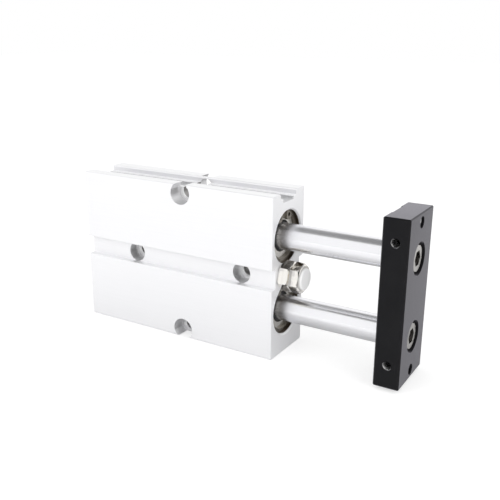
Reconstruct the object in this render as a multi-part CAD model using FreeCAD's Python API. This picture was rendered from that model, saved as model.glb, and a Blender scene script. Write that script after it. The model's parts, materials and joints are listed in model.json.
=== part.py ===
"""Twin-rod guided pneumatic cylinder: extruded barrel, two guided piston rods, front plate, stroke bumper.

X runs along the rods towards the front plate, Y across the thickness, Z up across the width.
The origin is midway between the two cross bolt holes, on the plane that halves the thickness.
"""
import FreeCAD, Part
import math
import os

# ---- barrel (mm) ----
barrel_width = 62.0
barrel_depth = 24.0
cross_bolt_setback = 40.0          # front end face to the line of the two cross bolts
corner_radius = 0.8
lip_radius = 0.25
end_chamfer = 0.2

# ---- bores and what moves in them ----
bore_diameter = 20.0
rod_pitch = 28.0
rod_diameter = 10.0
stroke = 30.0
rest_extension = 27.0              # how far out the rods stand in the rest pose
end_gap = 0.3                      # piston pads to covers at both ends of the stroke
running_clearance = 0.05           # radial, for everything that slides or turns on its seat
seat_clearance = 0.02              # radial, for what is fixed in its seat

# ---- grooves along the barrel ----
face_groove_width = 7.6
face_groove_depth = 2.7
recess_width = 11.5                # sensor recess in the upper narrow face
recess_depth = 2.3
recess_front_lip = 5.8
recess_lip_radius = 0.8
slot_mouth = 7.0                   # sensor slot in the recess's floor
slot_width = 7.8
slot_lip = 0.45
slot_depth = 0.95

# ---- bolt holes through the thickness ----
cross_bolt_hole = 5.5              # M5 screws
cross_counterbore = 8.6
cross_counterbore_depth = 6.0
cross_bolt_edge = 3.5              # hole centre to the narrow face
line_bolt_hole = 4.5               # M4 screws, inside the face grooves
line_counterbore = 7.6
line_counterbore_depth = 7.7
line_bolt_front_inset = 14.4
line_bolt_rear_inset = 23.9
bolt_hole_chamfer = 0.5

# ---- air ports in the lower narrow face ----
port_thread = 4.2                  # M5 at its minor diameter
port_depth = 5.5
air_passage = 3.0

# ---- covers that close the bores ----
cover_setback = 2.7
mouth_chamfer = 0.5
circlip_thickness = 1.0
circlip_play = 0.1
circlip_groove_depth = 0.5
front_cover_length = 21.0
rear_cover_length = 8.0
front_relief_length = 5.0
rear_relief_length = 3.0
relief_depth = 1.5
oring_section = 1.64
oring_groove_depth = 1.7
oring_groove_width = 2.2
front_oring_inset = 6.0
rear_oring_inset = 1.3
seal_mouth = 12.0                  # opening in front of the rod seal
seal_mouth_depth = 0.8
seal_diameter = 15.0
seal_width = 2.6
seal_lip_setback = 0.3
cover_land = 1.6
bush_diameter = 12.0
bush_length = 15.0

# ---- pistons ----
piston_length = 17.0
piston_gap = 0.2                   # radial, metal to bore
front_pad_thickness = 2.0
rear_pad_thickness = 4.0
front_pad_diameter = 15.0
rear_pad_diameter = 17.0
seal_groove_start = 1.6
seal_groove_width = 3.0
seal_groove_depth = 2.8
magnet_groove_start = 6.0
magnet_groove_width = 3.2
magnet_groove_depth = 2.6
wear_groove_start = 10.6
wear_groove_width = 4.0
wear_groove_depth = 0.8
spigot_diameter = 6.0
spigot_end_gap = 0.2

# ---- front plate ----
plate_thickness = 9.2
plate_width = 59.6
plate_depth = 23.6
plate_chamfer = 0.4
plate_screw_head_recess = 0.6
plate_counterbore = 11.8
plate_clearance_hole = 6.6
tap_spot_diameter = 11.8           # shallow seat round each face tap, on the inner face
tap_spot_depth = 0.7
face_tap = 4.2                     # M5 at its minor diameter
face_tap_edge = 3.3                # hole centre to the plate's end
side_tap = 3.3                     # M4 at its minor diameter
side_tap_edge = 8.3
side_tap_depth = 7.0

# ---- fasteners and stroke bumper (M6) ----
thread_diameter = 6.0
hex_across_flats = 10.0
nut_height = 3.6
screw_head_diameter = 10.0
screw_head_height = 6.0
screw_length = 16.0
screw_socket = 5.0
screw_socket_depth = 3.2
screw_hole_depth = 15.0
nut_seat_gap = 0.05
bumper_offset = -3.0               # axis towards the front broad face
bumper_nut_height = 4.1
bumper_head_height = 3.7
bumper_head_gap = 0.45             # lock nut to bolt head
bumper_thread_length = 7.0         # below the front end face
bumper_hole_depth = 8.0
bumper_hex_turn = -15.0            # degrees about X
bumper_reach_spare = 3.25          # plate to pad with the rods fully in
pad_diameter = 8.1
pad_recess = 1.0                   # depth of the pad's seat in the bolt head
pad_proud = 1.25
pad_edge_radius = 0.5
pad_crown = 0.3
pad_stem_diameter = 3.0
pad_stem_length = 1.5

# ---- derived places ----
front_x = cross_bolt_setback
barrel_length = (2 * cover_setback + front_cover_length + rear_cover_length + stroke + 2 * end_gap
                 + front_pad_thickness + piston_length + rear_pad_thickness)
rear_x = front_x - barrel_length
bore_radius = bore_diameter / 2
rod_radius = rod_diameter / 2
side_z = {"upper": rod_pitch / 2, "lower": -rod_pitch / 2}
circlip_room = cover_setback - circlip_thickness - circlip_play
front_cover_face = front_x - cover_setback
front_cover_inner = front_cover_face - front_cover_length
rear_cover_face = rear_x + cover_setback
rear_cover_inner = rear_cover_face + rear_cover_length
rear_pad_back = rear_cover_inner + end_gap + rest_extension
piston_back = rear_pad_back + rear_pad_thickness
piston_front = piston_back + piston_length
seal_front = front_cover_face - seal_mouth_depth
seal_back = seal_front - seal_width
nut_x = front_x + nut_seat_gap
bumper_head_x = nut_x + bumper_nut_height + bumper_head_gap
bumper_head_top = bumper_head_x + bumper_head_height
pad_x = bumper_head_top - pad_recess + nut_seat_gap
pad_tip_x = bumper_head_top + pad_proud
plate_x = pad_tip_x + bumper_reach_spare + rest_extension
plate_front_x = plate_x + plate_thickness
screw_seat_x = plate_front_x - plate_screw_head_recess - screw_head_height
recess_y = -barrel_depth / 2 + recess_front_lip
slot_y = recess_y + recess_width / 2
slot_edge_radius = 0.44 * slot_lip
slot_corner_radius = (slot_width - slot_mouth) / 8
port_x = {"front": front_cover_inner + front_relief_length / 2,
          "rear": rear_cover_inner - rear_relief_length / 2}
cross_bolt_z = barrel_width / 2 - cross_bolt_edge
face_tap_z = plate_width / 2 - face_tap_edge
side_tap_z = plate_width / 2 - side_tap_edge
line_bolt_x = (front_x - line_bolt_front_inset, rear_x + line_bolt_rear_inset)


def vec(x, y, z):
    return FreeCAD.Vector(x, y, z)


def rod_x(start, end, diameter, y=0.0, z=0.0):
    return Part.makeCylinder(diameter / 2, end - start, vec(start, y, z), vec(1, 0, 0))


def rod_y(start, end, diameter, x, z):
    return Part.makeCylinder(diameter / 2, end - start, vec(x, start, z), vec(0, 1, 0))


def rod_z(start, end, diameter, x, y):
    return Part.makeCylinder(diameter / 2, end - start, vec(x, y, start), vec(0, 0, 1))


def box(low, high):
    size = [b - a for a, b in zip(low, high)]
    return Part.makeBox(size[0], size[1], size[2], vec(*low))


def joined(shapes):
    whole = shapes[0]
    for shape in shapes[1:]:
        whole = whole.fuse(shape)
    return whole.removeSplitter()


def turned(profile, z=0.0):
    """Revolve a closed outline of (x, radius) points about the line parallel to X at height z."""
    points = [vec(x, 0, r) for x, r in profile]
    face = Part.Face(Part.makePolygon(points + points[:1]))
    solid = face.revolve(vec(0, 0, 0), vec(1, 0, 0), 360)
    solid.translate(vec(0, 0, z))
    return solid


def ring(start, end, outer, inner, z=0.0):
    """Plain ring between two radii."""
    return turned([(start, inner), (end, inner), (end, outer), (start, outer)], z)


def rounded_outline(corners, x):
    """Closed wire in the plane at x through (y, z, radius) corners, each rounded with its own radius."""
    edges = []
    count = len(corners)
    ends = []
    for i, (y, z, radius) in enumerate(corners):
        here = vec(x, y, z)
        to_last = (vec(x, *corners[i - 1][:2]) - here).normalize()
        to_next = (vec(x, *corners[(i + 1) % count][:2]) - here).normalize()
        half = to_last.getAngle(to_next) / 2
        run = radius / math.tan(half)
        centre = here + (to_last + to_next).normalize() * (radius / math.sin(half))
        middle = centre + (here - centre).normalize() * radius
        start, end = here + to_last * run, here + to_next * run
        ends.append((start, end))
        edges.append(Part.Arc(start, middle, end).toShape())
    for i in range(count):
        edges.append(Part.makeLine(ends[i][1], ends[(i + 1) % count][0]))
    return Part.Wire(Part.__sortEdges__(edges))


def hexagon(start, end, turn=0.0, chamfer=0.6, start_chamfer=0.6):
    """Hexagon prism along X with its end faces chamfered as on a nut; flats face Y before the turn."""
    corner = hex_across_flats / math.sqrt(3)
    points = []
    for i in range(7):
        angle = math.radians(turn + 90 + 60 * i)
        points.append(vec(start, corner * math.cos(angle), corner * math.sin(angle)))
    prism = Part.Face(Part.makePolygon(points)).extrude(vec(end - start, 0, 0))
    flat = hex_across_flats / 2 - 0.1
    outline = [(end - chamfer, corner + 0.1), (end, flat), (end, 0), (start, 0)]
    if start_chamfer > 0:
        outline += [(start, flat), (start + start_chamfer, corner + 0.1)]
    else:
        outline += [(start, corner + 0.1)]
    return prism.common(turned(outline))


def barrel_outline():
    """Section of the extruded barrel, anticlockwise from the lower front corner."""
    y, z = barrel_depth / 2, barrel_width / 2
    groove_z, floor_y = face_groove_width / 2, barrel_depth / 2 - face_groove_depth
    floor_z = z - recess_depth
    recess_end = recess_y + recess_width
    corners = [
        (y, -z, corner_radius),
        (y, -groove_z, lip_radius), (floor_y, -groove_z, lip_radius),
        (floor_y, groove_z, lip_radius), (y, groove_z, lip_radius),
        (y, z, corner_radius),
        (recess_end, z, recess_lip_radius), (recess_end, floor_z, lip_radius),
        (slot_y + slot_mouth / 2, floor_z, slot_edge_radius),
        (slot_y + slot_mouth / 2, floor_z - slot_lip, slot_edge_radius),
        (slot_y + slot_width / 2, floor_z - slot_lip, slot_corner_radius),
        (slot_y + slot_width / 2, floor_z - slot_depth, lip_radius),
        (slot_y - slot_width / 2, floor_z - slot_depth, lip_radius),
        (slot_y - slot_width / 2, floor_z - slot_lip, slot_corner_radius),
        (slot_y - slot_mouth / 2, floor_z - slot_lip, slot_edge_radius),
        (slot_y - slot_mouth / 2, floor_z, slot_edge_radius),
        (recess_y, floor_z, lip_radius), (recess_y, z, recess_lip_radius),
        (-y, z, corner_radius),
        (-y, groove_z, lip_radius), (-floor_y, groove_z, lip_radius),
        (-floor_y, -groove_z, lip_radius), (-y, -groove_z, lip_radius),
        (-y, -z, corner_radius),
    ]
    return corners


def mouth(face_x, inward):
    """Chamfer and circlip groove that are cut into each end of each bore."""
    cuts = []
    for z in side_z.values():
        wide = bore_radius + mouth_chamfer
        cuts.append(turned([(face_x, 0), (face_x, wide), (face_x + inward * mouth_chamfer, bore_radius),
                            (face_x + inward * mouth_chamfer, 0)], z))
        near = face_x + inward * circlip_room
        far = face_x + inward * cover_setback
        cuts.append(rod_x(min(near, far), max(near, far), bore_diameter + 2 * circlip_groove_depth, 0, z))
    return cuts


def bolt_holes():
    """Counterbored holes through the thickness: two across the width and two in the face grooves."""
    face = barrel_depth / 2
    cross = (cross_bolt_hole, cross_counterbore, cross_counterbore_depth)
    line = (line_bolt_hole, line_counterbore, line_counterbore_depth)
    places = [(0.0, cross_bolt_z) + cross, (0.0, -cross_bolt_z) + cross]
    places += [(x, 0.0) + line for x in line_bolt_x]
    cuts = []
    for x, z, hole, head, depth in places:
        cuts.append(rod_y(-face, face, hole, x, z))
        for side in (-1, 1):
            seat = side * (face - depth)
            cuts.append(rod_y(min(seat, side * face), max(seat, side * face), head, x, z))
            cuts.append(Part.makeCone(hole / 2 + bolt_hole_chamfer, hole / 2, bolt_hole_chamfer,
                                      vec(x, seat, z), vec(0, -side, 0)))
    return cuts


def air_ways():
    """Port threads in the lower face, each with a passage on through the web to the upper bore."""
    base = -barrel_width / 2
    web = (rod_pitch - bore_diameter) / 2
    cuts = []
    for x in port_x.values():
        cuts.append(rod_z(base, base + port_depth, port_thread, x, 0))
        cuts.append(rod_z(base, web + air_passage / 2, air_passage, x, 0))
    return cuts


def make_barrel():
    section = Part.Face(rounded_outline(barrel_outline(), rear_x))
    solid = section.extrude(vec(barrel_length, 0, 0))
    end_edges = [edge for edge in solid.Edges if edge.BoundBox.XLength < 0.001]
    solid = solid.makeChamfer(min(end_chamfer, 0.8 * lip_radius, 0.8 * slot_edge_radius), end_edges)
    cuts = [rod_x(rear_x, front_x, bore_diameter, 0, z) for z in side_z.values()]
    cuts += mouth(front_x, -1) + mouth(rear_x, 1)
    cuts += bolt_holes() + air_ways()
    bumper_hole = thread_diameter + 2 * running_clearance
    cuts.append(rod_x(front_x - bumper_hole_depth, front_x, bumper_hole, bumper_offset))
    return solid.cut(cuts)


def cover_body(face_x, inward, length, relief_length, oring_inset, z):
    """Stepped plug with one O-ring groove; the inner end is relieved so that air can reach the port."""
    outer = bore_radius - seat_clearance
    groove = bore_radius - oring_groove_depth
    relief = bore_radius - relief_depth
    steps = [(0, 0), (0, outer - 0.3), (0.3, outer), (oring_inset, outer), (oring_inset, groove),
             (oring_inset + oring_groove_width, groove), (oring_inset + oring_groove_width, outer),
             (length - relief_length, outer), (length - relief_length, relief), (length, relief), (length, 0)]
    return turned([(face_x + inward * x, r) for x, r in steps], z)


def make_front_cover(z):
    """Cover with an inner groove that the soft rod seal snaps into, and a seat for the bush behind it."""
    cover = cover_body(front_cover_face, -1, front_cover_length, front_relief_length, front_oring_inset, z)
    play = 2 * seat_clearance
    cuts = [rod_x(seal_front, front_cover_face, seal_mouth, 0, z),
            rod_x(seal_back, seal_front, seal_diameter + play, 0, z),
            rod_x(front_cover_inner, front_cover_face, rod_diameter + 6 * running_clearance, 0, z),
            rod_x(front_cover_inner, seal_back - cover_land, bush_diameter + play, 0, z)]
    return cover.cut(cuts)


def make_rear_cover(z):
    cover = cover_body(rear_cover_face, 1, rear_cover_length, rear_relief_length, rear_oring_inset, z)
    dish = turned([(rear_cover_face, 0), (rear_cover_face, 5.0), (rear_cover_face + 0.8, 4.2),
                   (rear_cover_face + 0.8, 0)], z)
    return cover.cut(dish)


def make_bush(z):
    back = seal_back - cover_land - bush_length
    return ring(back, back + bush_length, bush_diameter / 2, rod_radius + running_clearance, z)


def make_rod_seal(z):
    """Rod seal and wiper in one: a ring in its groove, with a lip that reaches out along the rod."""
    outer = seal_diameter / 2
    lip = rod_radius + running_clearance
    tip = front_cover_face - seal_lip_setback
    front = seal_front - seat_clearance
    return turned([(seal_back, lip + 0.4), (seal_back + 0.5, lip), (seal_back + 1.0, lip + 0.25),
                   (front - 0.6, lip + 0.25), (tip, lip), (tip, lip + 0.3), (front, lip + 0.6),
                   (front, outer), (seal_back, outer)], z)


def make_oring(face_x, inward, inset, z):
    """O-ring in its squeezed shape: eight-sided section between the groove floor and the bore wall."""
    centre = face_x + inward * (inset + oring_groove_width / 2)
    radius = bore_radius - running_clearance - oring_section / 2
    reach = oring_section / 2 / math.cos(math.radians(22.5))
    angles = [math.radians(22.5 + 45 * i) for i in range(8)]
    return turned([(centre + reach * math.cos(a), radius + reach * math.sin(a)) for a in angles], z)


def make_circlip(groove_start, z):
    """Internal retaining ring: eccentric ring with a gap between two drilled lugs that point up."""
    outer = bore_radius + circlip_groove_depth - running_clearance
    end = groove_start + circlip_thickness
    lug_angle, lug_reach = math.radians(24), bore_radius - 1.75
    body = rod_x(groove_start, end, 2 * outer).cut(rod_x(groove_start, end, 2 * outer - 3.4, 0, 0.35))
    lugs, holes = [], []
    for side in (-1, 1):
        y, up = side * lug_reach * math.sin(lug_angle), lug_reach * math.cos(lug_angle)
        lugs.append(rod_x(groove_start, end, 4.0, y, up))
        holes.append(rod_x(groove_start, end, 1.5, y, up))
    lug_bound = rod_x(groove_start, end, 2 * outer)
    gap = box((groove_start, -1.7, 0), (end, 1.7, bore_diameter))
    clip = joined([body] + [lug.common(lug_bound) for lug in lugs]).cut(holes + [gap])
    clip.translate(vec(0, 0, z))
    return clip


def make_piston_rod(z):
    spigot_end = rear_pad_back + spigot_end_gap
    rod = turned([(spigot_end, 0), (spigot_end, spigot_diameter / 2 - 0.5),
                  (spigot_end + 0.5, spigot_diameter / 2), (piston_front, spigot_diameter / 2),
                  (piston_front, rod_radius), (plate_x, rod_radius), (plate_x, 0)], z)
    tapped = rod_x(plate_x - screw_hole_depth, plate_x, thread_diameter + 2 * seat_clearance, 0, z)
    return rod.cut(tapped)


def make_piston(z, with_magnet):
    outer = bore_radius - piston_gap
    grooves = [(seal_groove_start, seal_groove_width, seal_groove_depth),
               (wear_groove_start, wear_groove_width, wear_groove_depth)]
    if with_magnet:
        grooves.append((magnet_groove_start, magnet_groove_width, magnet_groove_depth))
    outline = [(piston_back, spigot_diameter / 2 + seat_clearance), (piston_back, outer)]
    for start, width, depth in sorted(grooves, reverse=True):
        back, front = piston_front - start - width, piston_front - start
        floor = bore_radius - depth
        outline += [(back, outer), (back, floor), (front, floor), (front, outer)]
    outline += [(piston_front, outer), (piston_front, spigot_diameter / 2 + seat_clearance)]
    return turned(outline, z)


def make_piston_seal(z):
    """Double-acting piston seal with a shallow valley on both flanks."""
    front = piston_front - seal_groove_start - seat_clearance * 2
    back = piston_front - seal_groove_start - seal_groove_width + seat_clearance * 2
    inner = bore_radius - seal_groove_depth + seat_clearance
    outer = bore_radius - running_clearance
    middle, half = (inner + outer) / 2, (front - back) / 2
    return turned([(back, inner), (front, inner), (front - 0.5, middle), (front, outer - 0.4),
                   (front - 0.5, outer), (front - half, outer - 0.3), (back + 0.5, outer),
                   (back, outer - 0.4), (back + 0.5, middle)], z)


def make_wear_ring(z):
    front = piston_front - wear_groove_start - running_clearance
    back = front - wear_groove_width + 2 * running_clearance
    strip = ring(back, front, bore_radius - running_clearance,
                 bore_radius - wear_groove_depth + seat_clearance, z)
    split = box((back, -0.3, z), (front, 0.3, z + bore_diameter))
    split.rotate(vec((back + front) / 2, 0, z), vec(0, 0, 1), 20)
    return strip.cut(split)


def make_magnet(z):
    front = piston_front - magnet_groove_start - running_clearance
    back = front - magnet_groove_width + 2 * running_clearance
    return ring(back, front, bore_radius - 2 * piston_gap,
                bore_radius - magnet_groove_depth + seat_clearance, z)


def make_piston_nut(z):
    nut = hexagon(piston_back - nut_height, piston_back)
    nut = nut.cut(rod_x(piston_back - nut_height, piston_back, spigot_diameter + 2 * seat_clearance))
    nut.translate(vec(0, 0, z))
    return nut


def make_front_pad(z):
    return ring(piston_front, piston_front + front_pad_thickness, front_pad_diameter / 2,
                rod_radius + 2 * running_clearance, z)


def make_rear_pad(z):
    around_nut = hex_across_flats / math.sqrt(3) + 0.4
    return ring(rear_pad_back, piston_back, rear_pad_diameter / 2, around_nut, z)


def make_plate():
    half_y, half_z = plate_depth / 2, plate_width / 2
    plate = box((plate_x, -half_y, -half_z), (plate_front_x, half_y, half_z))
    plate = plate.makeChamfer(plate_chamfer, plate.Edges)
    middle_x = (plate_x + plate_front_x) / 2
    cuts = []
    for z in side_z.values():
        cuts.append(rod_x(plate_x, plate_front_x, plate_clearance_hole, 0, z))
        cuts.append(rod_x(screw_seat_x, plate_front_x, plate_counterbore, 0, z))
    for side in (-1, 1):
        cuts.append(rod_x(plate_x, plate_front_x, face_tap, 0, side * face_tap_z))
        cuts.append(rod_x(plate_x, plate_x + tap_spot_depth, tap_spot_diameter, 0, side * face_tap_z))
        z = side * side_tap_z
        cuts.append(rod_y(-half_y, -half_y + side_tap_depth, side_tap, middle_x, z))
        cuts.append(rod_y(half_y - side_tap_depth, half_y, side_tap, middle_x, z))
    return plate.cut(cuts)


def make_plate_screw(z):
    """Socket head screw that pulls the plate onto the end of a rod."""
    top = screw_seat_x + screw_head_height
    head = screw_head_diameter / 2
    shank = thread_diameter / 2
    tip = screw_seat_x - screw_length
    screw = turned([(tip, 0), (tip, shank - 0.6), (tip + 0.6, shank), (screw_seat_x, shank),
                    (screw_seat_x, head), (top - 0.5, head), (top, head - 0.5), (top, 0)])
    corner = screw_socket / math.sqrt(3)
    points = [vec(top, corner * math.cos(math.radians(60 * i)), corner * math.sin(math.radians(60 * i)))
              for i in range(7)]
    socket = Part.Face(Part.makePolygon(points)).extrude(vec(-screw_socket_depth, 0, 0))
    screw = screw.cut(socket)
    screw.translate(vec(0, 0, z))
    return screw


def make_bumper_bolt():
    """Hexagon bolt whose head has a round seat for the pad and a hole for the pad's stem."""
    head = hexagon(bumper_head_x, bumper_head_top, bumper_hex_turn, start_chamfer=0)
    tip = front_x - bumper_thread_length
    shank_radius = thread_diameter / 2
    shank = turned([(tip, 0), (tip, shank_radius - 0.6), (tip + 0.6, shank_radius),
                    (bumper_head_x + 0.5, shank_radius), (bumper_head_x + 0.5, 0)])
    play = 2 * running_clearance
    seat = rod_x(bumper_head_top - pad_recess, bumper_head_top, pad_diameter + play)
    stem_hole = rod_x(pad_x - pad_stem_length - nut_seat_gap, bumper_head_top, pad_stem_diameter + play)
    return joined([head, shank]).cut([seat, stem_hole])


def make_lock_nut():
    top = nut_x + bumper_nut_height
    nut = hexagon(nut_x, top, bumper_hex_turn)
    return nut.cut(rod_x(nut_x, top, thread_diameter + 2 * running_clearance))


def make_bumper_pad():
    """Soft pad with a rounded rim and a slightly crowned face, held in the bolt head by its stem."""
    radius = pad_diameter / 2
    rim = pad_tip_x - pad_x - pad_crown
    stem = pad_stem_diameter / 2
    bend = pad_edge_radius * math.sqrt(0.5)
    centre_x, centre_r = pad_x + rim - pad_edge_radius, radius - pad_edge_radius
    crown_radius = (centre_r ** 2 + pad_crown ** 2) / (2 * pad_crown)
    halfway_x = pad_tip_x - crown_radius + math.sqrt(crown_radius ** 2 - centre_r ** 2 / 4)
    rim_arc = Part.Arc(vec(centre_x, 0, radius), vec(centre_x + bend, 0, centre_r + bend),
                       vec(centre_x + pad_edge_radius, 0, centre_r))
    crown_arc = Part.Arc(vec(pad_x + rim, 0, centre_r), vec(halfway_x, 0, centre_r / 2),
                         vec(pad_tip_x, 0, 0))
    stem_x = pad_x - pad_stem_length
    corners = [vec(pad_tip_x, 0, 0), vec(stem_x, 0, 0), vec(stem_x, 0, stem), vec(pad_x, 0, stem),
               vec(pad_x, 0, radius), vec(centre_x, 0, radius)]
    edges = [Part.makeLine(a, b) for a, b in zip(corners, corners[1:])]
    outline = Part.Wire(edges + [rim_arc.toShape(), crown_arc.toShape()])
    return Part.Face(outline).revolve(vec(0, 0, 0), vec(1, 0, 0), 360)


nodes = {
    "barrel": make_barrel(),
    "magnet_ring": make_magnet(side_z["upper"]),
    "front_plate": make_plate(),
    "bumper_bolt": make_bumper_bolt(),
    "lock_nut": make_lock_nut(),
    "bumper_pad": make_bumper_pad(),
}
for name in ("bumper_bolt", "lock_nut", "bumper_pad"):
    nodes[name].translate(vec(0, bumper_offset, 0))
rear_circlip_x = rear_cover_face - circlip_play / 2 - circlip_thickness
for name, height in side_z.items():
    nodes["front_cover_" + name] = make_front_cover(height)
    nodes["guide_bush_" + name] = make_bush(height)
    nodes["rod_seal_" + name] = make_rod_seal(height)
    nodes["front_oring_" + name] = make_oring(front_cover_face, -1, front_oring_inset, height)
    nodes["front_circlip_" + name] = make_circlip(front_cover_face + circlip_play / 2, height)
    nodes["rear_cover_" + name] = make_rear_cover(height)
    nodes["rear_oring_" + name] = make_oring(rear_cover_face, 1, rear_oring_inset, height)
    nodes["rear_circlip_" + name] = make_circlip(rear_circlip_x, height)
    nodes["piston_rod_" + name] = make_piston_rod(height)
    nodes["piston_" + name] = make_piston(height, name == "upper")
    nodes["piston_seal_" + name] = make_piston_seal(height)
    nodes["wear_ring_" + name] = make_wear_ring(height)
    nodes["piston_nut_" + name] = make_piston_nut(height)
    nodes["front_pad_" + name] = make_front_pad(height)
    nodes["rear_pad_" + name] = make_rear_pad(height)
    nodes["plate_screw_" + name] = make_plate_screw(height)

os.makedirs("parts", exist_ok=True)
for name, shape in nodes.items():
    shape.exportStep("parts/" + name + ".step")
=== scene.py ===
"""Looks of a twin-rod guided pneumatic cylinder on a plain white studio floor. Lengths are in metres."""
import json
import math

import bpy
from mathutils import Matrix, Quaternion, Vector


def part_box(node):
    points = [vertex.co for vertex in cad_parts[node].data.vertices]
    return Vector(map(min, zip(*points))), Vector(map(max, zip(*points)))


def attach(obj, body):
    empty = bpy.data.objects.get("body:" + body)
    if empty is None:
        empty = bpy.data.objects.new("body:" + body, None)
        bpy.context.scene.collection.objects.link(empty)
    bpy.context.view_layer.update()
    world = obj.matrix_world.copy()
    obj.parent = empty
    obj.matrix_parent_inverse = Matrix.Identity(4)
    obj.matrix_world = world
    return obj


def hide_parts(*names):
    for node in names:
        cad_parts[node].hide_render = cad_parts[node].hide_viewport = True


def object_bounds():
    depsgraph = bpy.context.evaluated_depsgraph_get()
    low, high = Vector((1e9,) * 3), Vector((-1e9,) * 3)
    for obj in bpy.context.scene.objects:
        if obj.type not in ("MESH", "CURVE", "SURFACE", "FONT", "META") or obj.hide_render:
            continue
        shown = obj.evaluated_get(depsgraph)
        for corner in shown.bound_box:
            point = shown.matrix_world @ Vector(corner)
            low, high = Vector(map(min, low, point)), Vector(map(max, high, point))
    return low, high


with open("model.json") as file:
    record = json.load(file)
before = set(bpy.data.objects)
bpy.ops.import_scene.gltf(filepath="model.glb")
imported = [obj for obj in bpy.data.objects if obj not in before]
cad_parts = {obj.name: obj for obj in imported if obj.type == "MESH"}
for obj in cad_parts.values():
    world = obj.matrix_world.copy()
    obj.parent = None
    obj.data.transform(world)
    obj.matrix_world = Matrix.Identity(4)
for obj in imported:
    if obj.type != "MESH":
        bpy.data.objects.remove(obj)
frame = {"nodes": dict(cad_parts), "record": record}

cad_low, cad_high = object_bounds()
mm = 0.001
quarter_turn = math.pi / 2


# ---------------------------------------------------------------- places
mounts = {mount["name"]: mount for mount in frame["record"]["mounts"]}
joints = {joint["name"]: joint for joint in frame["record"]["behaviour"]["joints"]}
barrel_low, barrel_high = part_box("barrel")
plate_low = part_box("front_plate")[0]
rod_offset = 14.0 * mm                  # each rod's axis above or below the middle
bumper_offset = joints["bumper_turn"]["pos_m"][1]


# ---------------------------------------------------------------- node helpers
def new_material(name):
    """A new material, its node tree and its Principled shader."""
    material = bpy.data.materials.new(name)
    material.use_nodes = True
    return material, material.node_tree, material.node_tree.nodes["Principled BSDF"]


def add_node(tree, kind, settings=None, **inputs):
    """Adds a node, sets its properties, and fills or links its inputs by name."""
    node = tree.nodes.new(kind)
    for key, value in (settings or {}).items():
        setattr(node, key, value)
    for key, value in inputs.items():
        plug(tree, value, node.inputs[key.replace("_", " ")])
    return node


def plug(tree, value, socket):
    """Links a socket to another one, or sets it to a plain value."""
    if isinstance(value, bpy.types.NodeSocket):
        tree.links.new(value, socket)
    else:
        socket.default_value = value


def math_node(tree, operation, *values):
    node = tree.nodes.new("ShaderNodeMath")
    node.operation = operation
    for value, socket in zip(values, node.inputs):
        plug(tree, value, socket)
    return node.outputs[0]


def between(tree, value, low, high):
    """One where a coordinate lies between two places, and nought elsewhere."""
    above = math_node(tree, "GREATER_THAN", value, low)
    return math_node(tree, "MULTIPLY", above, math_node(tree, "LESS_THAN", value, high))


def mapped(tree, scale):
    """Object coordinates stretched by scale along X, Y and Z."""
    place = add_node(tree, "ShaderNodeTexCoord")
    mapping = add_node(tree, "ShaderNodeMapping", Vector=place.outputs["Object"])
    mapping.inputs["Scale"].default_value = scale
    return mapping.outputs["Vector"]


def mix_colour(tree, factor, a, b):
    node = tree.nodes.new("ShaderNodeMix")
    node.data_type = "RGBA"
    plug(tree, factor, node.inputs[0])
    plug(tree, a, node.inputs[6])
    plug(tree, b, node.inputs[7])
    return node.outputs[2]


def stretch(tree, value, low, high, to_low, to_high):
    """Maps a value's range to another range, and holds it there."""
    node = add_node(tree, "ShaderNodeMapRange", Value=value)
    for key, number in (("From Min", low), ("From Max", high), ("To Min", to_low), ("To Max", to_high)):
        node.inputs[key].default_value = number
    return node.outputs[0]


# ---------------------------------------------------------------- shared effects
def grain_group():
    """Fine lines and blotches: a mask of each, for tone, roughness and bump."""
    group = bpy.data.node_groups.new("surface_grain", "ShaderNodeTree")
    group.interface.new_socket("Line Vector", in_out="INPUT", socket_type="NodeSocketVector")
    group.interface.new_socket("Blotch Scale", in_out="INPUT", socket_type="NodeSocketFloat")
    for name in ("Lines", "Blotches"):
        group.interface.new_socket(name, in_out="OUTPUT", socket_type="NodeSocketFloat")
    start = group.nodes.new("NodeGroupInput")
    end = group.nodes.new("NodeGroupOutput")
    lines = add_node(group, "ShaderNodeTexNoise", Vector=start.outputs["Line Vector"], Scale=1.0,
                     Detail=4.0, Roughness=0.6)
    place = group.nodes.new("ShaderNodeTexCoord")
    blotches = add_node(group, "ShaderNodeTexNoise", Vector=place.outputs["Object"],
                        Scale=start.outputs["Blotch Scale"], Detail=3.0, Roughness=0.55)
    group.links.new(lines.outputs[0], end.inputs["Lines"])
    group.links.new(blotches.outputs[0], end.inputs["Blotches"])
    return group


grain = grain_group()


def add_grain(tree, line_scale, blotch_scale):
    """Lines at so many per metre along X, Y and Z, and blotches at so many per metre."""
    node = tree.nodes.new("ShaderNodeGroup")
    node.node_tree = grain
    tree.links.new(mapped(tree, line_scale), node.inputs["Line Vector"])
    node.inputs["Blotch Scale"].default_value = blotch_scale
    return node.outputs["Lines"], node.outputs["Blotches"]


def hole_group():
    """One inside a round hole, from the two distances to its axis, and nought outside."""
    group = bpy.data.node_groups.new("round_hole", "ShaderNodeTree")
    for name in ("Across", "Up", "Radius"):
        group.interface.new_socket(name, in_out="INPUT", socket_type="NodeSocketFloat")
    group.interface.new_socket("Inside", in_out="OUTPUT", socket_type="NodeSocketFloat")
    start = group.nodes.new("NodeGroupInput")
    end = group.nodes.new("NodeGroupOutput")
    point = add_node(group, "ShaderNodeCombineXYZ", X=start.outputs["Across"], Y=start.outputs["Up"])
    length = add_node(group, "ShaderNodeVectorMath", {"operation": "LENGTH"})
    group.links.new(point.outputs[0], length.inputs[0])
    beyond = math_node(group, "SUBTRACT", length.outputs["Value"], start.outputs["Radius"])
    soft_edge = 0.02 * mm
    group.links.new(stretch(group, beyond, -soft_edge, soft_edge, 1.0, 0.0), end.inputs["Inside"])
    return group


round_hole = hole_group()


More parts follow.
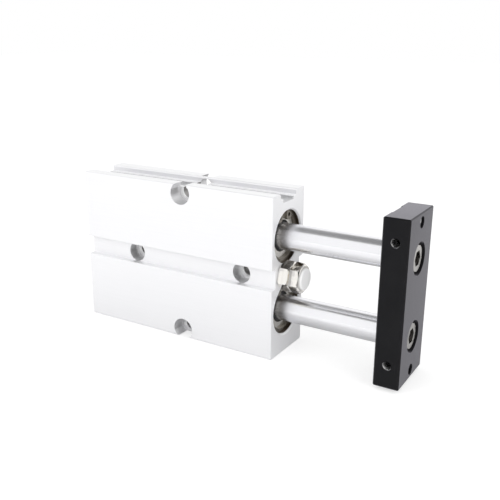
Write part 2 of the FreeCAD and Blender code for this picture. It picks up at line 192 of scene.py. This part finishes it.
def inside_hole(tree, across, up, radius):
    """The mask of a round hole of this radius."""
    node = tree.nodes.new("ShaderNodeGroup")
    node.node_tree = round_hole
    plug(tree, across, node.inputs["Across"])
    plug(tree, up, node.inputs["Up"])
    node.inputs["Radius"].default_value = radius
    return node.outputs["Inside"]


def pair_distance(tree, value, middle, half=0.0):
    """How far a coordinate lies beyond a place that is half to either side of middle."""
    apart = math_node(tree, "ABSOLUTE", math_node(tree, "SUBTRACT", value, middle))
    return math_node(tree, "SUBTRACT", apart, half)


def bumped(tree, shader, height, strength, distance):
    bump = add_node(tree, "ShaderNodeBump", Height=height)
    bump.inputs["Strength"].default_value = strength
    bump.inputs["Distance"].default_value = distance
    tree.links.new(bump.outputs[0], shader.inputs["Normal"])


# ---------------------------------------------------------------- materials
def bolt_hole_masks(tree, x, z, recess_floor):
    """Masks of the barrel's bolt holes, from outside in: out to the walls, the seats and the shanks, which
    carry painted shade on the walls and shanks and painted light on the seats.
    """
    cross, line = mounts["cross_bolts"], mounts["line_bolts"]
    cross_half = cross["dims"]["spacing_y_mm"] / 2 * mm
    line_half = line["dims"]["spacing_x_mm"] / 2 * mm
    from_cross = (x, pair_distance(tree, z, 0.0, cross_half))
    from_line = (pair_distance(tree, x, line["pos_m"][0], line_half), z)
    counterbores = (4.3 * mm, 3.8 * mm)
    shanks = (cross["dims"]["hole_r_mm"] * mm, line["dims"]["hole_r_mm"] * mm)
    lips = recess_floor + 0.1 * mm
    below_lips = between(tree, z, -lips, lips)
    masks = []
    for radii, margin in ((counterbores, 0.03 * mm), (counterbores, -0.1 * mm), (shanks, 0.05 * mm)):
        in_cross = inside_hole(tree, *from_cross, radii[0] + margin)
        in_cross = math_node(tree, "MULTIPLY", in_cross, below_lips)
        in_line = inside_hole(tree, *from_line, radii[1] + margin)
        masks.append(math_node(tree, "MAXIMUM", in_cross, in_line))
    return masks


def bore_mask(tree, x, y, z):
    """Inside the two bores with their circlip grooves, short of the chamfered mouths."""
    mouth_depth, groove_reach = 0.7 * mm, 10.9 * mm
    deep = between(tree, x, barrel_low[0] + mouth_depth, barrel_high[0] - mouth_depth)
    round_bore = inside_hole(tree, y, pair_distance(tree, z, 0.0, rod_offset), groove_reach)
    return math_node(tree, "MULTIPLY", round_bore, deep)


def recess_masks(tree, y, z, recess_floor):
    """Flanks of the sensor recess, the slot in its floor, and what faces up: the floor and the top. These
    are masks for painted shade on the flanks and the slot and for painted light on what faces up.
    """
    skin = 0.05 * mm
    half_width, slot_half_width, slot_depth = 5.75 * mm, 3.9 * mm, 1.2 * mm
    from_middle = pair_distance(tree, y, mounts["sensor_slot"]["pos_m"][1])
    within = math_node(tree, "LESS_THAN", from_middle, half_width + skin)
    flanks = between(tree, from_middle, half_width - skin, half_width + skin)
    flanks = math_node(tree, "MULTIPLY", flanks, math_node(tree, "GREATER_THAN", z, recess_floor + skin))
    slot = between(tree, z, recess_floor - slot_depth, recess_floor - skin)
    in_slot = math_node(tree, "LESS_THAN", from_middle, slot_half_width + skin)
    slot = math_node(tree, "MULTIPLY", slot, in_slot)
    ledge = between(tree, z, recess_floor - skin, recess_floor + skin)
    ledge = math_node(tree, "MULTIPLY", ledge, within)
    top = math_node(tree, "GREATER_THAN", z, barrel_high[2] - 0.03 * mm)
    return flanks, slot, math_node(tree, "MAXIMUM", ledge, top)


def clear_anodised():
    """Satin anodised extrusion: faint lines along the profile, with bare honed bores and bare bolt holes.
    Painted shade darkens the bores, the bolt holes' walls and shanks and the recess flanks and slot;
    painted light brightens the counterbore seats, the recess floor and the top.
    """
    material, tree, shader = new_material("clear_anodised")
    lines, blotches = add_grain(tree, (40.0, 2200.0, 2200.0), 45.0)
    place = tree.nodes.new("ShaderNodeTexCoord")
    x, y, z = add_node(tree, "ShaderNodeSeparateXYZ", Vector=place.outputs["Object"]).outputs
    recess_floor = barrel_high[2] - 2.3 * mm
    # Painted shade: the bores are bare honed metal painted near black-brown, for the shade and dark
    # reflections deep inside them.
    bores = bore_mask(tree, x, y, z)
    # Painted shade and light in the bolt holes: the counterbore walls are bare metal, painted darker for
    # the shade in them; the seats are painted lighter, as if lit; the shanks are painted dark for the
    # shade inside.
    walls, seats, shanks = bolt_hole_masks(tree, x, z, recess_floor)
    # Painted shade on the recess flanks and on the slot under the lips, and painted light on the recess
    # floor and the top because they face up.
    flanks, slot, painted_light_upward = recess_masks(tree, y, z, recess_floor)
    tone = stretch(tree, lines, 0.3, 0.7, 0.0, 1.0)
    colour = mix_colour(tree, tone, (0.855, 0.855, 0.87, 1), (0.87, 0.87, 0.885, 1))
    for mask, shade in ((flanks, (0.76, 0.76, 0.78, 1)), (slot, (0.62, 0.62, 0.63, 1)),
                        (painted_light_upward, (0.94, 0.94, 0.95, 1)), (walls, (0.74, 0.74, 0.75, 1)),
                        (seats, (0.95, 0.95, 0.95, 1)), (shanks, (0.40, 0.39, 0.385, 1)),
                        (bores, (0.13, 0.105, 0.08, 1))):
        colour = mix_colour(tree, mask, colour, shade)
    tree.links.new(colour, shader.inputs["Base Color"])
    satin = stretch(tree, blotches, 0.3, 0.7, 0.33, 0.41)
    rough = math_node(tree, "SUBTRACT", satin, math_node(tree, "MULTIPLY", bores, 0.08))
    tree.links.new(rough, shader.inputs["Roughness"])
    bare = math_node(tree, "MAXIMUM", bores, math_node(tree, "MULTIPLY", walls, 0.6))
    tree.links.new(stretch(tree, bare, 0.0, 1.0, 0.35, 1.0), shader.inputs["Metallic"])
    bumped(tree, shader, lines, 0.02, 0.000005)
    return material


turning_marks = (9000.0, 60.0, 60.0)    # fine along X, so that they run round the axis


def turned_metal(name, dark, light, metallic, roughness):
    """Metal with fine marks that run round it."""
    material, tree, shader = new_material(name)
    lines, blotches = add_grain(tree, turning_marks, 120.0)
    colour = mix_colour(tree, stretch(tree, lines, 0.35, 0.65, 0.0, 1.0), dark, light)
    tree.links.new(colour, shader.inputs["Base Color"])
    tree.links.new(stretch(tree, blotches, 0.3, 0.7, roughness * 0.8, roughness * 1.25),
                   shader.inputs["Roughness"])
    shader.inputs["Metallic"].default_value = metallic
    bumped(tree, shader, lines, 0.05, 0.00001)
    return material


def hard_chrome():
    """Ground and chromed rod: the fine marks run round it, so what it mirrors is drawn out along it."""
    material, tree, shader = new_material("hard_chrome")
    lines, blotches = add_grain(tree, turning_marks, 120.0)
    tone = stretch(tree, lines, 0.35, 0.65, 0.0, 1.0)
    colour = mix_colour(tree, tone, (0.93, 0.93, 0.96, 1), (0.96, 0.96, 0.98, 1))
    tree.links.new(colour, shader.inputs["Base Color"])
    tree.links.new(stretch(tree, blotches, 0.3, 0.7, 0.22, 0.25), shader.inputs["Roughness"])
    shader.inputs["Metallic"].default_value = 1.0
    shader.inputs["Anisotropic"].default_value = 0.95
    shader.inputs["Anisotropic Rotation"].default_value = 0.25
    around = add_node(tree, "ShaderNodeTangent", {"direction_type": "RADIAL", "axis": "X"})
    tree.links.new(around.outputs[0], shader.inputs["Tangent"])
    return material


def black_anodised():
    """Fine blasted black oxide, dark seen square on and paler at a glance."""
    material, tree, shader = new_material("black_anodised")
    fine, blotches = add_grain(tree, (2600.0, 2600.0, 2600.0), 90.0)
    tone = stretch(tree, blotches, 0.3, 0.7, 0.0, 1.0)
    colour = mix_colour(tree, tone, (0.003, 0.003, 0.004, 1), (0.006, 0.006, 0.007, 1))
    tree.links.new(colour, shader.inputs["Base Color"])
    tree.links.new(stretch(tree, fine, 0.3, 0.7, 0.40, 0.50), shader.inputs["Roughness"])
    shader.inputs["Specular IOR Level"].default_value = 0.15
    shader.inputs["Sheen Weight"].default_value = 1.0
    shader.inputs["Sheen Roughness"].default_value = 0.31
    shader.inputs["Sheen Tint"].default_value = (0.93, 0.91, 1.0, 1)
    bumped(tree, shader, fine, 0.1, 0.00003)
    return material


def soft_material(name, dark, light, roughness):
    """Moulded rubber, resin or urethane with a fine even grain."""
    material, tree, shader = new_material(name)
    lines, blotches = add_grain(tree, (900.0, 900.0, 900.0), 150.0)
    colour = mix_colour(tree, stretch(tree, blotches, 0.3, 0.7, 0.0, 1.0), dark, light)
    tree.links.new(colour, shader.inputs["Base Color"])
    tree.links.new(stretch(tree, lines, 0.3, 0.7, roughness * 0.85, roughness * 1.15),
                   shader.inputs["Roughness"])
    bumped(tree, shader, lines, 0.1, 0.00003)
    return material


def grey(value, tint=(1.0, 1.0, 1.0)):
    return tuple(value * part for part in tint) + (1.0,)


finishes = {
    "clear_anodised": clear_anodised(),
    "cover_aluminium": turned_metal("cover_aluminium", grey(0.60, (1, 0.97, 0.91)),
                                    grey(0.68, (1, 0.97, 0.92)), 0.9, 0.25),
    "sintered_bronze": turned_metal("sintered_bronze", (0.36, 0.24, 0.13, 1),
                                    (0.50, 0.35, 0.20, 1), 0.9, 0.4),
    "black_rubber": soft_material("black_rubber", grey(0.012), grey(0.02), 0.55),
    "spring_steel": turned_metal("spring_steel", grey(0.16, (1, 0.9, 0.78)),
                                 grey(0.24, (1.0, 0.92, 0.8)), 1.0, 0.3),
    "hard_chrome": hard_chrome(),
    "piston_aluminium": turned_metal("piston_aluminium", grey(0.62), grey(0.72), 0.9, 0.3),
    "guide_resin": soft_material("guide_resin", (0.30, 0.27, 0.22, 1), (0.36, 0.33, 0.27, 1), 0.5),
    "magnet": soft_material("magnet", grey(0.03), grey(0.045), 0.5),
    "zinc_steel": turned_metal("zinc_steel", grey(0.55), grey(0.68), 1.0, 0.25),
    "pad_urethane": soft_material("pad_urethane", (0.60, 0.50, 0.28, 1), (0.68, 0.58, 0.34, 1), 0.4),
    "black_anodised": black_anodised(),
    "nickel_steel": turned_metal("nickel_steel", grey(0.88, (1, 0.97, 0.92)),
                                 grey(0.95, (1, 0.98, 0.94)), 1.0, 0.09),
    "white_urethane": soft_material("white_urethane", grey(0.92), grey(0.95), 0.35),
}
bare_thread = turned_metal("bare_thread", grey(0.55), grey(0.68), 1.0, 0.2)
screw_steel = turned_metal("screw_steel", grey(0.44, (1, 0.97, 0.93)),
                           grey(0.54, (1, 0.97, 0.93)), 1.0, 0.22)


def dress_nodes():
    """Gives each CAD node the finish that its material slot names, and the plate's screws their own."""
    slots = {part["node"]: part["material_slot"] for part in frame["record"]["subparts"]}
    for name, node in frame["nodes"].items():
        node.data.materials.clear()
        screw = name.startswith("plate_screw")
        node.data.materials.append(screw_steel if screw else finishes[slots[name]])


dress_nodes()


# ---------------------------------------------------------------- threads and knurls
def finish_piece(piece, name, material, body):
    """Names a finished piece, gives it its look and says what it moves with."""
    piece.name = name
    piece.data.name = name
    piece.data.materials.clear()
    piece.data.materials.append(material)
    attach(piece, body)


def place_piece(piece, turn=(0.0, 0.0, 0.0), shift=(0.0, 0.0, 0.0)):
    """Turns and shifts a piece about the origin and applies it to the mesh."""
    bpy.ops.object.select_all(action="DESELECT")
    piece.select_set(True)
    bpy.context.view_layer.objects.active = piece
    piece.rotation_euler = turn
    piece.location = shift
    bpy.ops.object.transform_apply(location=True, rotation=True, scale=True)


def copied(piece, turn=(0.0, 0.0, 0.0), shift=(0.0, 0.0, 0.0)):
    """A copy with its own mesh, turned and shifted about the origin."""
    twin = piece.copy()
    twin.data = piece.data.copy()
    bpy.context.scene.collection.objects.link(twin)
    place_piece(twin, turn, shift)
    return twin


m4_pitch = 0.7 * mm
m5_pitch = 0.8 * mm


def wind_thread(radius, pitch, turns):
    """A closed helical ridge that stands in from a tapped hole's wall, wound up the Z axis from nought."""
    bpy.ops.object.select_all(action="DESELECT")
    bpy.ops.mesh.primitive_circle_add(vertices=3, radius=0.5 * pitch, location=(radius, 0, 0),
                                      rotation=(quarter_turn, -quarter_turn, 0))
    ridge = bpy.context.object
    bpy.ops.object.transform_apply(location=True, rotation=True, scale=True)
    bpy.ops.object.mode_set(mode="EDIT")
    bpy.ops.mesh.select_all(action="SELECT")
    bpy.ops.transform.resize(value=(0.5, 1, 1), center_override=(radius, 0, 0))
    bpy.ops.object.mode_set(mode="OBJECT")
    bpy.ops.object.modifier_add(type="SCREW")
    screw = ridge.modifiers[-1]
    screw.axis = "Z"
    screw.screw_offset = pitch
    screw.iterations = turns
    screw.steps = screw.render_steps = 24
    bpy.ops.object.modifier_apply(modifier=screw.name)
    bpy.ops.object.mode_set(mode="EDIT")
    bpy.ops.mesh.select_all(action="SELECT")
    bpy.ops.mesh.fill_holes(sides=0)
    bpy.ops.mesh.normals_make_consistent(inside=False)
    bpy.ops.object.mode_set(mode="OBJECT")
    bpy.ops.object.shade_flat()
    return ridge


def finish_thread(thread, name, body):
    finish_piece(thread, name, bare_thread, body)


def add_face_tap_threads():
    """M5 threads of the two tapped holes that run through the plate."""
    taps = mounts["plate_face_taps"]["dims"]
    spacing, lead_in = taps["spacing_y_mm"] * mm, 1.3 * mm
    upper = wind_thread(taps["hole_r_mm"] * mm, m5_pitch, turns=9)
    place_piece(upper, (0, quarter_turn, 0), (plate_low[0] + lead_in, 0, spacing / 2))
    finish_thread(upper, "face_tap_thread_upper", "rod_set")
    lower = copied(upper, shift=(0, 0, -spacing))
    finish_thread(lower, "face_tap_thread_lower", "rod_set")


def add_side_tap_threads():
    """M4 threads in the plate's narrow sides, two in each."""
    tap = mounts["side_tap_front_upper"]
    x, _, height = tap["pos_m"]
    lead_in = 0.6 * mm
    first = wind_thread(tap["dims"]["r_mm"] * mm, m4_pitch, turns=8)
    place_piece(first, (-quarter_turn, 0, 0), (x, plate_low[1] + lead_in, height))
    finish_thread(first, "side_tap_thread_1", "rod_set")
    for number, turn, drop in ((2, 0.0, -2 * height), (3, math.pi, 0.0), (4, math.pi, 2 * height)):
        twin = copied(first, (turn, 0, 0), (0, 0, drop))
        finish_thread(twin, "side_tap_thread_%d" % number, "rod_set")


def add_port_threads():
    """M5 threads of the two air ports in the lower narrow face."""
    front_port, rear_port = mounts["front_port"], mounts["rear_port"]
    lead_in = 0.6 * mm
    front = wind_thread(front_port["dims"]["r_mm"] * mm, m5_pitch, turns=5)
    place_piece(front, shift=(front_port["pos_m"][0], 0, cad_low[2] + lead_in))
    finish_thread(front, "port_thread_front", "barrel")
    rear = copied(front, shift=(rear_port["pos_m"][0] - front_port["pos_m"][0], 0, 0))
    finish_thread(rear, "port_thread_rear", "barrel")


def add_bumper_bolt():
    """The bumper's bolt with its thread cut as a helical groove."""
    shank_radius, pitch, lead_in = 3.0 * mm, 1.0 * mm, 0.4 * mm
    shank_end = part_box("bumper_bolt")[0][0]
    groove = wind_thread(shank_radius, pitch, turns=10)
    place_piece(groove, (0, quarter_turn, 0), (shank_end + lead_in, bumper_offset, 0))
    bolt = bpy.data.objects.new("bolt", frame["nodes"]["bumper_bolt"].data.copy())
    bpy.context.scene.collection.objects.link(bolt)
    place_piece(bolt)
    bpy.ops.object.mode_set(mode="EDIT")
    bpy.ops.mesh.select_all(action="SELECT")
    bpy.ops.mesh.remove_doubles(threshold=0.001 * mm)
    bpy.ops.object.mode_set(mode="OBJECT")
    bpy.ops.object.modifier_add(type="BOOLEAN")
    cut = bolt.modifiers[-1]
    cut.operation = "DIFFERENCE"
    cut.solver = "EXACT"
    cut.object = groove
    bpy.ops.object.modifier_apply(modifier=cut.name)
    bpy.ops.object.shade_smooth_by_angle(angle=math.radians(30))
    bpy.data.objects.remove(groove)
    finish_piece(bolt, "threaded_bumper_bolt", finishes["nickel_steel"], "bumper_bolt")
    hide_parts("bumper_bolt")


def add_knurls():
    """Straight knurl round the heads of the two plate screws: an open ring whose crests stand proud."""
    ring_radius, ring_length, crest_rise = 4.98 * mm, 4.6 * mm, 1.032
    ring_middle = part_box("plate_screw_upper")[1][0] - 3.2 * mm
    corners, corners_per_crest = 180, 3
    bpy.ops.object.select_all(action="DESELECT")
    bpy.ops.mesh.primitive_cylinder_add(vertices=corners, radius=ring_radius, depth=ring_length,
                                        end_fill_type="NOTHING", location=(ring_middle, 0, 0),
                                        rotation=(0, quarter_turn, 0))
    knurl = bpy.context.object
    bpy.ops.object.transform_apply(location=True, rotation=True, scale=True)
    bpy.ops.object.mode_set(mode="EDIT")
    bpy.ops.mesh.select_mode(type="VERT")
    bpy.ops.mesh.select_all(action="DESELECT")
    bpy.ops.object.mode_set(mode="OBJECT")
    for corner in knurl.data.vertices:
        number = round(math.atan2(corner.co.z, corner.co.y) * corners / (2 * math.pi))
        corner.select = number % corners_per_crest != 0
    bpy.ops.object.mode_set(mode="EDIT")
    bpy.ops.transform.resize(value=(1, crest_rise, crest_rise), center_override=(0, 0, 0))
    bpy.ops.object.mode_set(mode="OBJECT")
    bpy.ops.object.modifier_add(type="SOLIDIFY")
    wall = knurl.modifiers[-1]
    wall.thickness = 0.5 * mm
    wall.offset = -1.0
    bpy.ops.object.modifier_apply(modifier=wall.name)
    place_piece(knurl, shift=(0, 0, rod_offset))
    finish_piece(knurl, "screw_knurl_upper", screw_steel, "rod_set")
    lower = copied(knurl, shift=(0, 0, -2 * rod_offset))
    finish_piece(lower, "screw_knurl_lower", screw_steel, "rod_set")


add_face_tap_threads()
add_side_tap_threads()
add_port_threads()
add_bumper_bolt()
add_knurls()


# ---------------------------------------------------------------- camera
def add_camera():
    """Seen from the front right and a little above."""
    data = bpy.data.cameras.new("camera")
    data.sensor_width = 36.0
    data.lens = 49.5
    camera = bpy.data.objects.new("camera", data)
    bpy.context.scene.collection.objects.link(camera)
    camera.location = Vector((152.3, -214.2, 84.5)) * mm
    azimuth, elevation, roll = math.radians(30.99), math.radians(17.41), math.radians(0.33)
    turn = Quaternion((0, 0, 1), azimuth) @ Quaternion((1, 0, 0), quarter_turn - elevation)
    camera.rotation_mode = "QUATERNION"
    camera.rotation_quaternion = turn @ Quaternion((0, 0, 1), roll)
    bpy.context.scene.camera = camera


add_camera()


# ---------------------------------------------------------------- studio
def add_floor():
    """White floor that keeps a faint shadow; for gloss alone, a painted shadow greys it at the back of the
    object.
    """
    painted_shadow_middle, painted_shadow_radius, painted_shadow_fade_radius = (-10 * mm, 90 * mm, 0.0), 40 * mm, 165 * mm
    bpy.ops.object.select_all(action="DESELECT")
    bpy.ops.mesh.primitive_plane_add(size=6.0, location=(0, 0, cad_low[2]))
    floor = bpy.context.object
    floor.name = "floor"
    material, tree, shader = new_material("studio_floor")
    path = tree.nodes.new("ShaderNodeLightPath")
    place = tree.nodes.new("ShaderNodeTexCoord")
    reach = add_node(tree, "ShaderNodeVectorMath", {"operation": "DISTANCE"})
    tree.links.new(place.outputs["Object"], reach.inputs[0])
    reach.inputs[1].default_value = painted_shadow_middle
    # Painted shadow: for glossy rays, the floor's colour darkens around a spot at the back of the object,
    # where the object's shadow falls.
    painted_shadow = stretch(tree, reach.outputs["Value"], painted_shadow_radius, painted_shadow_fade_radius, 0.82, 0.0)
    painted_shadow_in_gloss = math_node(tree, "MULTIPLY", painted_shadow, path.outputs["Is Glossy Ray"])
    colour = mix_colour(tree, painted_shadow_in_gloss, (0.9, 0.9, 0.9, 1), (0.0, 0.0, 0.0, 1))
    tree.links.new(colour, shader.inputs["Base Color"])
    shader.inputs["Roughness"].default_value = 1.0
    shader.inputs["Specular IOR Level"].default_value = 0.0
    glow = add_node(tree, "ShaderNodeEmission", Strength=1.45)
    glow.inputs["Color"].default_value = (1, 1, 1, 1)
    direct = math_node(tree, "MAXIMUM", path.outputs["Is Camera Ray"], path.outputs["Is Transmission Ray"])
    share = math_node(tree, "ADD", math_node(tree, "MULTIPLY", direct, 0.4),
                      math_node(tree, "MULTIPLY", path.outputs["Is Glossy Ray"], 0.05))
    mix = tree.nodes.new("ShaderNodeMixShader")
    tree.links.new(share, mix.inputs[0])
    tree.links.new(shader.outputs[0], mix.inputs[1])
    tree.links.new(glow.outputs[0], mix.inputs[2])
    tree.links.new(mix.outputs[0], tree.nodes["Material Output"].inputs["Surface"])
    floor.data.materials.append(material)


def add_world():
    """White all round, a little dimmer for what it lights, and a grey patch overhead for gloss alone."""
    world = bpy.data.worlds.new("studio")
    bpy.context.scene.world = world
    world.use_nodes = True
    tree = world.node_tree
    tree.nodes.clear()
    place = tree.nodes.new("ShaderNodeTexCoord")
    overhead = add_node(tree, "ShaderNodeVectorMath", {"operation": "DOT_PRODUCT"})
    tree.links.new(place.outputs["Generated"], overhead.inputs[0])
    overhead.inputs[1].default_value = (0.0, 0.17, 0.985)
    patch = stretch(tree, overhead.outputs["Value"], 0.79, 0.83, 0.0, 0.78)
    path = tree.nodes.new("ShaderNodeLightPath")
    seen = math_node(tree, "MAXIMUM", path.outputs["Is Camera Ray"], path.outputs["Is Glossy Ray"])
    seen = math_node(tree, "MAXIMUM", seen, path.outputs["Is Transmission Ray"])
    shade = math_node(tree, "MULTIPLY", patch, path.outputs["Is Glossy Ray"])
    unseen_level, seen_level = 0.82, 1.0
    level = stretch(tree, seen, 0.0, 1.0, unseen_level, seen_level)
    level = math_node(tree, "SUBTRACT", level, shade)
    sky = add_node(tree, "ShaderNodeBackground", Strength=level)
    sky.inputs["Color"].default_value = (1, 1, 1, 1)
    out = tree.nodes.new("ShaderNodeOutputWorld")
    tree.links.new(sky.outputs[0], out.inputs["Surface"])


def add_lamp(name, place, size, power):
    """A square soft lamp that faces the object and that gloss doesn't show."""
    data = bpy.data.lights.new(name, "AREA")
    data.shape = "RECTANGLE"
    data.size = data.size_y = size
    data.energy = power
    lamp = bpy.data.objects.new(name, data)
    lamp.location = Vector(place)
    aim = (cad_low + cad_high) / 2 - Vector(place)
    lamp.rotation_euler = aim.to_track_quat("-Z", "Y").to_euler()
    lamp.visible_glossy = False
    bpy.context.scene.collection.objects.link(lamp)


add_floor()
add_world()
add_lamp("key", (-0.30, -0.70, 0.34), 0.6, 2.4)
add_lamp("side", (0.75, -0.20, 0.30), 0.5, 2.1)
bpy.context.scene.view_settings.view_transform = "Standard"
